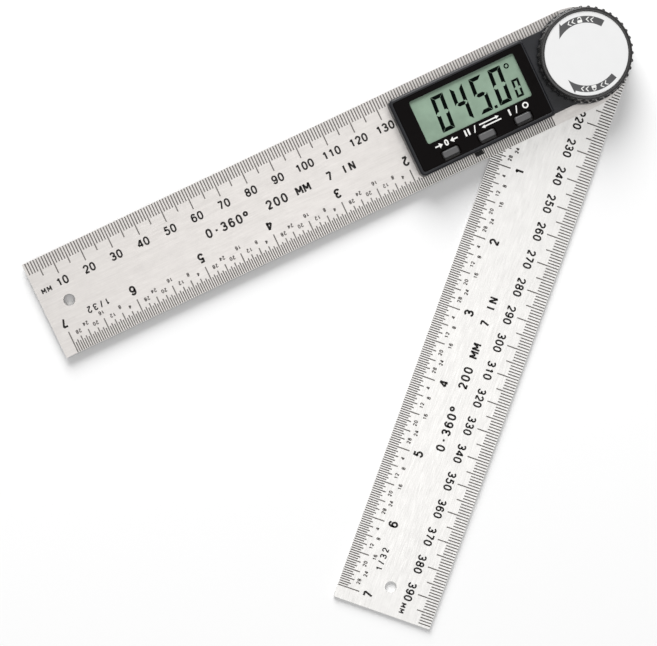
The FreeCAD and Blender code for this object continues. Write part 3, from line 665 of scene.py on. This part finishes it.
def knob_profile():
    """Radius, height and share of the rib's height, from the bore out, up the skirt and in to the cap."""
    low, high = node_box("knob_body")
    cap_low, cap_high = node_box("knob_cap")
    skirt = high.x - RIB_HEIGHT
    bore = node_box("knob_nut")[1].x + BORE_GAP
    rib_top = low.z + RIB_LENGTH
    cap_edge = cap_high.x + CAP_GAP
    hollow_top = low.z + HOLLOW_DEPTH
    profile = [(bore, hollow_top, 0), (HOLLOW_RADIUS, hollow_top, 0), (HOLLOW_RADIUS, low.z, 0)]
    profile += [(skirt - inset, low.z + rise, share) for inset, rise, share in RIB_FOOT]
    profile += [(skirt - inset, rib_top + rise, share) for inset, rise, share in RIB_TOP]
    profile.append((skirt - SHOULDER_INSET, high.z - SHOULDER_DROP, 0))
    rim_centre = (skirt - SHOULDER_INSET - RIM_ROUND, high.z - RIM_ROUND)
    seat_centre = (cap_edge + CAP_SEAT_ROUND, high.z - CAP_SEAT_ROUND)
    rim = arc(rim_centre, RIM_ROUND, 0, 80, 6) + arc(seat_centre, CAP_SEAT_ROUND, 90, 180, 3)
    profile += [(x, z, 0) for x, z in rim]
    return profile + [(cap_edge, cap_low.z, 0), (bore, cap_low.z, 0)]


def make_knob_body():
    count = KNOB_RIBS * RIB_SAMPLES
    shape = Shape()
    rings = []
    for radius, height, share in knob_profile():
        ring = []
        for index in range(count):
            angle = 2 * math.pi * index / count
            bump = rib_bump(index % RIB_SAMPLES / RIB_SAMPLES)
            here = radius + RIB_HEIGHT * share * bump
            ring.append((here * math.cos(angle), here * math.sin(angle), height))
        rings.append(shape.add(ring, []))
    for lower, upper in zip(rings, rings[1:] + rings[:1]):
        for index in range(count):
            after = (index + 1) % count
            shape.faces.append([lower[index], lower[after], upper[after], upper[index]])
    make_piece("lock_knob_body", shape, knob_plastic, "lock_knob", ["knob_body"],
               sharp_angle=50)


def make_knob_cap():
    low, high = node_box("knob_cap")
    shape = Shape()
    levels = round_levels(low.z, high.z, CAP_LOWER_EDGE, CAP_UPPER_EDGE)
    add_solid(shape, (circle((0, 0), high.x, 160), levels))
    make_piece("lock_knob_cap", shape, cap_white, "lock_knob", ["knob_cap"])


# Angles from +X. Each arrow has a band that ends in a point on its inner side and a barb outside.
Arrow = namedtuple("Arrow", "tail barb tip inner outer barb_radius")
OPEN_ARROW = Arrow(tail=36.1, barb=107.6, tip=127.6, inner=10.15, outer=12.4, barb_radius=13.4)
LOCK_ARROW = Arrow(tail=-63.4, barb=-131.4, tip=-150.4, inner=10.65, outer=12.8, barb_radius=13.7)
SIGN_SHIFT = 5
CHEVRON_OFFSETS = (-20, -12.5, 12.5, 20)
CHEVRON_SIZE = 0.8
CHEVRON_STROKE = 0.44
LOCK_BOX = (-0.8, 0.8, -0.95, -0.05)
LOCK_BOX_CORNER = 0.12
SHACKLE_OUTER = 0.66
SHACKLE_INNER = 0.38
SHACKLE_CENTRE = 0.2
OPEN_SHACKLE_LIFT = 0.15
OPEN_SHACKLE_FOOT = 0.3


def polar(radius, angle):
    return Vector((radius * math.cos(math.radians(angle)), radius * math.sin(math.radians(angle))))


def arrow_outline(arrow):
    inner = arc((0, 0), arrow.inner, arrow.tail, arrow.tip, 28)[:-1]
    outer = arc((0, 0), arrow.outer, arrow.barb, arrow.tail, 24)
    return inner + [polar(arrow.inner, arrow.tip), polar(arrow.barb_radius, arrow.barb)] + outer


def add_padlock(shape, centre, up, surface, is_open):
    """A padlock sign. Its shackle stands clear on one side when it is open."""
    up = Vector(up).normalized()
    right = Vector((up.y, -up.x))

    def place(points):
        return [Vector(centre) + right * x + up * y for x, y in points]

    foot = LOCK_BOX[3]
    left_foot = OPEN_SHACKLE_FOOT if is_open else foot
    middle = (0, SHACKLE_CENTRE + (OPEN_SHACKLE_LIFT if is_open else 0))
    shackle = [(SHACKLE_OUTER, foot)] + arc(middle, SHACKLE_OUTER, 0, 180, 12)
    shackle += [(-SHACKLE_OUTER, left_foot), (-SHACKLE_INNER, left_foot)]
    shackle += arc(middle, SHACKLE_INNER, 180, 0, 12) + [(SHACKLE_INNER, foot)]
    add_print(shape, place(rounded_box(*LOCK_BOX, LOCK_BOX_CORNER, 3)), surface)
    add_print(shape, place(shackle), surface)


def add_chevron(shape, centre, forward, surface):
    forward = Vector(forward).normalized()
    side = Vector((forward.y, -forward.x))
    front, back = CHEVRON_SIZE / 2, -CHEVRON_SIZE / 2
    points = [(back, CHEVRON_SIZE), (front, 0), (back, -CHEVRON_SIZE),
              (back - CHEVRON_STROKE, -CHEVRON_SIZE), (front - CHEVRON_STROKE, 0),
              (back - CHEVRON_STROKE, CHEVRON_SIZE)]
    add_print(shape, [Vector(centre) + forward * x + side * y for x, y in points], surface)


def make_knob_prints():
    """The two arrows on the cap, each with a padlock between its chevrons."""
    surface = node_box("knob_cap")[1].z
    on_arrow = surface + PRINT_RISE
    arrows, signs = Shape(), Shape()
    for arrow, is_open in ((OPEN_ARROW, True), (LOCK_ARROW, False)):
        add_print(arrows, arrow_outline(arrow), surface)
        turn = 1 if arrow.tip > arrow.tail else -1
        middle = (arrow.tail + arrow.barb) / 2 + SIGN_SHIFT * turn
        radius = (arrow.inner + arrow.outer) / 2
        add_padlock(signs, polar(radius, middle), polar(1, middle), on_arrow, is_open)
        for offset in CHEVRON_OFFSETS:
            angle = middle + offset
            add_chevron(signs, polar(radius, angle), polar(1, angle + 90 * turn), on_arrow)
    make_piece("lock_knob_arrows", arrows, knob_ink, "lock_knob")
    make_piece("lock_knob_signs", signs, legend_white, "lock_knob")


make_knob_body()
make_knob_cap()
make_knob_prints()


# ---------------------------------------------------------------- housing

BEZEL_HALF_WIDTH = 13.9
BEZEL_CORNER = 1.8
BEZEL_EDGE = 0.8
BOSS_EDGE = 0.27
SEAM_BEVEL = 0.15
BLEND_RADIUS = 5.0
NECK_HALF_WIDTH = 13.6
NECK_START = -17.1
NECK_OVERLAP = 0.4
BOSS_TOP = 8.2
PANEL_GAP = 0.06
PANEL_CORNER = 0.8
PANEL_EDGE = 0.08
RECESS_CORNER = 0.85
WINDOW_CORNER = 0.7
WINDOW_EDGE = 0.04
LENS_GAP = 0.02
LENS_CORNER = 0.68
WELL_HALF_LENGTH = 3.05
WELL_HALF_WIDTH = 1.4
WELL_CORNER = 0.75
# How much wider the well is there, and how far below the panel's face.
WELL_RIM = [(0, 0.28), (0.32, 0.12), (0.5, 0)]
BUTTON_BODIES = {"zero_button": "zero_key", "hold_button": "hold_key", "power_button": "power_key"}
FLANGE_CORNER = 1.2
FLANGE_THICKNESS = 0.3
BUTTON_INSET = 0.5
BUTTON_EDGE = 0.45
COIN_LOWER_EDGE = 0.25
COIN_UPPER_EDGE = 0.35
# How far in from the coin's edge, and how far below its face.
COIN_GROOVE = [(1.5, 0), (1.65, 0.15), (1.95, 0.15), (2.1, 0)]


def neck_outline(boss_radius):
    """The neck and the round boss, anticlockwise, with a hollow curve where they meet."""
    reach = boss_radius + BLEND_RADIUS
    blend_y = NECK_HALF_WIDTH + BLEND_RADIUS
    blend_x = -math.sqrt(reach ** 2 - blend_y ** 2)
    meeting = math.degrees(math.atan2(blend_y, blend_x))
    points = arc((0, 0), boss_radius, -meeting, meeting, 120)
    points += arc((blend_x, blend_y), BLEND_RADIUS, meeting - 180, -90, 10)[1:]
    start = NECK_START - NECK_OVERLAP
    points += [(start, NECK_HALF_WIDTH), (start, -NECK_HALF_WIDTH)]
    points += arc((blend_x, -blend_y), BLEND_RADIUS, 90, 180 - meeting, 10)[:-1]
    return points


def make_cover():
    low, high = node_box("housing_cover")
    seam = node_box("housing_base")[1].z
    bezel = rounded_box(low.x, NECK_START, -BEZEL_HALF_WIDTH, BEZEL_HALF_WIDTH, BEZEL_CORNER, 10)
    recess = box_outline(*node_box("front_panel"), -PANEL_GAP, RECESS_CORNER)
    bush = circle((0, 0), node_box("shaft_bush")[1].x, 48)
    shape = Shape()
    add_solid(shape, (bezel, round_levels(seam, high.z, SEAM_BEVEL, BEZEL_EDGE)),
              (recess, hole_levels(round_levels(seam, high.z, 0, PANEL_EDGE, 2))))
    add_solid(shape, (neck_outline(high.x), round_levels(seam, BOSS_TOP, SEAM_BEVEL, BOSS_EDGE)),
              (bush, [(0, seam), (0, BOSS_TOP)]))
    make_piece("housing_top_cover", shape, housing_plastic, "display_arm", ["housing_cover"])


def button_well(node, low, high):
    """The wall of the hole in the panel that a button stands in."""
    centre = node_centre(node)
    outline = rounded_box(centre.x - WELL_HALF_LENGTH, centre.x + WELL_HALF_LENGTH,
                          centre.y - WELL_HALF_WIDTH, centre.y + WELL_HALF_WIDTH, WELL_CORNER)
    levels = [(0, low.z)] + [(wider, high.z - below) for wider, below in WELL_RIM]
    return outline, hole_levels(levels)


def make_panel():
    low, high = node_box("front_panel")
    window = box_outline(*node_box("display_window"), 0, WINDOW_CORNER)
    walls = [(box_outline(low, high, 0, PANEL_CORNER), round_levels(low.z, high.z, 0, PANEL_EDGE, 3)),
             (window, hole_levels(round_levels(low.z, high.z, 0, WINDOW_EDGE, 2)))]
    walls += [button_well(node, low, high) for node in BUTTON_BODIES]
    shape = Shape()
    add_solid(shape, *walls)
    make_piece("black_front_panel", shape, panel_gloss, "display_arm", ["front_panel"])


def make_lens():
    low, high = node_box("display_window")
    shape = Shape()
    add_solid(shape, (box_outline(low, high, LENS_GAP, LENS_CORNER),
                      round_levels(low.z, high.z, 0, WINDOW_EDGE, 2)))
    make_piece("display_lens", shape, clear_lens, "display_arm", ["display_window"])


def make_buttons():
    for node, body in BUTTON_BODIES.items():
        low, high = node_box(node)
        flange_top = low.z + FLANGE_THICKNESS
        cap = [(BUTTON_INSET + inset, height)
               for inset, height in round_levels(flange_top, high.z, 0, BUTTON_EDGE, 6)]
        shape = Shape()
        add_solid(shape, (box_outline(low, high, 0, FLANGE_CORNER, 8), [(0, low.z), (0, flange_top)] + cap))
        make_piece(node + "_cap", shape, button_plastic, body, [node])


def make_coin():
    """A coin cell: a can with rounded edges and a shallow groove inside its rim."""
    low, high = node_box("coin_cell")
    centre = node_centre("coin_cell")
    outline = circle((centre.x, centre.y), (high.x - low.x) / 2, 120)
    groove = [(inset, high.z - below) for inset, below in COIN_GROOVE]
    shape = Shape()
    can = round_levels(low.z, high.z, COIN_LOWER_EDGE, COIN_UPPER_EDGE)
    add_solid(shape, (outline, can + groove))
    make_piece("coin_cell_can", shape, coin_steel, "battery_drawer", ["coin_cell"])


make_cover()
make_panel()
make_lens()
make_buttons()
make_coin()


# ---------------------------------------------------------------- display

DigitStyle = namedtuple("DigitStyle", "width height stroke gap")

DIGIT_SLANT = math.tan(math.radians(4.2))
SEGMENTS = {0: "abcdef", 4: "bcfg", 5: "acdfg"}
READING = (0, 4, 5, 0)
BIG_DIGIT = DigitStyle(width=4.5, height=12.4, stroke=1.3, gap=0.1)
BIG_DIGIT_LEFT = -53.8
BIG_DIGIT_BOTTOM = -3.4
BIG_DIGIT_PITCH = 7.03
SMALL_DIGIT = DigitStyle(width=2.55, height=6.25, stroke=0.78, gap=0.05)
SMALL_DIGIT_CORNER = (-26.4, -3.5)
POINT_BOX = (-34.6, -33.55, -3.55, -2.5)
POINT_CORNER = 0.2
DEGREE_CENTRE = (-25.3, 7.8)
DEGREE_OUTER = 0.92
DEGREE_INNER = 0.47


def segment_outlines(style):
    """The seven segments of a digit whose lower left corner is at the origin."""
    width, height, stroke, gap = style
    half, middle, edge = stroke / 2, height / 2, gap / 2
    upper_left = [(0, middle + edge), (half, middle + half + edge), (stroke, middle + half + edge),
                  (stroke, height - stroke - edge), (0, height - edge)]
    upper_right = [(width - x, y) for x, y in upper_left]
    top = [(edge, height), (stroke + edge, height - stroke), (width - stroke - edge, height - stroke),
           (width - edge, height)]
    bar = [(half + edge, middle), (stroke + edge, middle - half), (width - stroke - edge, middle - half),
           (width - half - edge, middle), (width - stroke - edge, middle + half),
           (stroke + edge, middle + half)]

    def mirrored(points):
        return [(x, height - y) for x, y in points]

    return {"a": top, "b": upper_right, "c": mirrored(upper_right), "d": mirrored(top),
            "e": mirrored(upper_left), "f": upper_left, "g": bar}


def add_digit(shape, digit, corner, style, surface):
    outlines = segment_outlines(style)
    for name in SEGMENTS[digit]:
        points = [(corner[0] + x + y * DIGIT_SLANT, corner[1] + y) for x, y in outlines[name]]
        add_print(shape, points, surface)


def make_display():
    """Four large digits and a small one, with a decimal point and a degree sign."""
    surface = node_box("lcd_module")[1].z
    shape = Shape()
    for place, digit in enumerate(READING):
        corner = (BIG_DIGIT_LEFT + place * BIG_DIGIT_PITCH, BIG_DIGIT_BOTTOM)
        add_digit(shape, digit, corner, BIG_DIGIT, surface)
    add_digit(shape, 0, SMALL_DIGIT_CORNER, SMALL_DIGIT, surface)
    add_print(shape, rounded_box(*POINT_BOX, POINT_CORNER, 2), surface)
    add_print_ring(shape, DEGREE_CENTRE, DEGREE_OUTER, DEGREE_INNER, 32, surface)
    make_piece("display_digits", shape, digit_black, "display_arm")


# ---------------------------------------------------------------- signs above the buttons

SIGN_ROW = -6.7
SIGN_HEIGHT = 2.15
SIGN_DIGIT = Style(height=SIGN_HEIGHT, pitch=1.5, weight=0.22)
BAR_WIDTH = 0.6
SLASH_WIDTH = 0.38
SLASH_HEIGHT = SIGN_HEIGHT * 1.1
SLASH_SLANT = 0.35
RING_STROKE = 0.46

ArrowStyle = namedtuple("ArrowStyle", "shaft head head_length")
ZERO_ARROW = ArrowStyle(shaft=0.48, head=1.9, head_length=1.25)
REVERSE_ARROW = ArrowStyle(shaft=0.44, head=1.2, head_length=1.2)

# Places along the row, from the middle of the button below.
ZERO_ARROW_TAIL = 4.1
ZERO_ARROW_TIP = 1.35
PAUSE_BARS = (-6.3, -5.1)
HOLD_SLASH = -2.9
RIGHT_ARROW = (-1.0, 6.2)
LEFT_ARROW = (6.6, -0.6)
ARROW_RISE = 0.6
POWER_BAR = -3.4
POWER_SLASH = -0.9
POWER_RING = 2.4


def add_arrow(shape, tail_x, tip_x, row, style, surface):
    """A straight arrow along a row."""
    tail, tip = Vector((tail_x, row)), Vector((tip_x, row))
    length = (tip - tail).length
    forward = (tip - tail).normalized()
    side = Vector((-forward.y, forward.x))
    neck = length - style.head_length
    half_shaft, half_head = style.shaft / 2, style.head / 2
    points = [(0, -half_shaft), (neck, -half_shaft), (neck, -half_head), (length, 0), (neck, half_head),
              (neck, half_shaft), (0, half_shaft)]
    add_print(shape, [tail + forward * x + side * y for x, y in points], surface)


def add_bar(shape, middle, width, height, slant, surface):
    half_width, half_height = width / 2, height / 2
    points = [(-half_width, -half_height), (half_width, -half_height), (half_width, half_height),
              (-half_width, half_height)]
    add_print(shape, [(middle + x + y * slant, SIGN_ROW + y) for x, y in points], surface)


def add_upright(shape, middle, surface):
    add_bar(shape, middle, BAR_WIDTH, SIGN_HEIGHT, 0, surface)


def add_slash(shape, middle, surface):
    add_bar(shape, middle, SLASH_WIDTH, SLASH_HEIGHT, SLASH_SLANT, surface)


def make_panel_legends():
    """Signs above the buttons: set to zero, hold or reverse, and on or off."""
    surface = node_box("front_panel")[1].z
    zero, hold, power = [node_centre(node).x for node in BUTTON_BODIES]
    shape = Shape()
    for side in (-1, 1):
        add_arrow(shape, zero + side * ZERO_ARROW_TAIL, zero + side * ZERO_ARROW_TIP, SIGN_ROW, ZERO_ARROW,
                  surface)
    write(shape, "0", (zero, SIGN_ROW), (0, 1), SIGN_DIGIT, surface)
    for offset in PAUSE_BARS:
        add_upright(shape, hold + offset, surface)
    add_slash(shape, hold + HOLD_SLASH, surface)
    for (tail, tip), rise in ((RIGHT_ARROW, ARROW_RISE), (LEFT_ARROW, -ARROW_RISE)):
        add_arrow(shape, hold + tail, hold + tip, SIGN_ROW + rise, REVERSE_ARROW, surface)
    add_upright(shape, power + POWER_BAR, surface)
    add_slash(shape, power + POWER_SLASH, surface)
    outer = SIGN_HEIGHT / 2
    add_print_ring(shape, (power + POWER_RING, SIGN_ROW), outer, outer - RING_STROKE, 40, surface)
    make_piece("panel_legends", shape, legend_white, "display_arm")


make_display()
make_panel_legends()


# ---------------------------------------------------------------- stage, light and camera

FLOOR_SIZE = 4000.0
FLOOR_DROP = 0.02
AreaLight = namedtuple("AreaLight", "name place size power")
KEY_LIGHT = AreaLight(name="key", place=(300, 1610, 1000), size=1400, power=50.0)
TOP_LIGHT = AreaLight(name="top", place=(-120, -200, 1300), size=1000, power=4.7)
LIGHT_TARGET = (-90, -40, 0)
WORLD_STRENGTH = 0.3
CAMERA_PLACE = Vector((-123.5, -15.8, 646.9))
VIEW_CENTRE = Vector((-115.4, -44.6, 0.0))
CAMERA_ROLL = 25.39
LENS = 104.77
SENSOR_WIDTH = 36
NEAREST_SEEN = 10
FURTHEST_SEEN = 20000


def make_floor():
    floor_white, _ = new_material("floor_white", (0.92, 0.92, 0.92), 0.7, specular=0.1)
    nodes = Nodes(floor_white)
    nodes.bump(nodes.noise(3.0, 2.0), 0.01)
    half = FLOOR_SIZE / 2 * MM
    mesh = bpy.data.meshes.new("floor")
    mesh.from_pydata([(-half, -half, 0), (half, -half, 0), (half, half, 0), (-half, half, 0)], [],
                     [(0, 1, 2, 3)])
    mesh.materials.append(floor_white)
    floor = bpy.data.objects.new("floor", mesh)
    floor.location.z = cad_box[0].z - FLOOR_DROP * MM
    bpy.context.scene.collection.objects.link(floor)


def add_area_light(style):
    light = bpy.data.lights.new(style.name, "AREA")
    light.shape = "DISK"
    light.size = style.size * MM
    light.energy = style.power
    lamp = bpy.data.objects.new(style.name, light)
    lamp.location = Vector(style.place) * MM
    lamp.rotation_mode = "QUATERNION"
    lamp.rotation_quaternion = (Vector(LIGHT_TARGET) - Vector(style.place)).to_track_quat("-Z", "Y")
    bpy.context.scene.collection.objects.link(lamp)


def make_lights():
    world = bpy.data.worlds.new("studio")
    world.use_nodes = True
    background = world.node_tree.nodes["Background"]
    background.inputs["Color"].default_value = (1.0, 1.0, 1.0, 1)
    background.inputs["Strength"].default_value = WORLD_STRENGTH
    bpy.context.scene.world = world
    add_area_light(KEY_LIGHT)
    add_area_light(TOP_LIGHT)


def make_camera():
    data = bpy.data.cameras.new("camera")
    data.sensor_width = SENSOR_WIDTH
    data.lens = LENS
    data.clip_start = NEAREST_SEEN * MM
    data.clip_end = FURTHEST_SEEN * MM
    camera = bpy.data.objects.new("camera", data)
    forward = (VIEW_CENTRE - CAMERA_PLACE).normalized()
    roll = math.radians(CAMERA_ROLL)
    right = forward.cross(Vector((math.sin(roll), math.cos(roll), 0))).normalized()
    up = right.cross(forward)
    turn = Matrix((right, up, -forward)).transposed().to_4x4()
    camera.matrix_world = Matrix.Translation(CAMERA_PLACE * MM) @ turn
    bpy.context.scene.collection.objects.link(camera)
    bpy.context.scene.camera = camera


make_floor()
make_lights()
make_camera()
bpy.context.scene.view_settings.view_transform = "Standard"
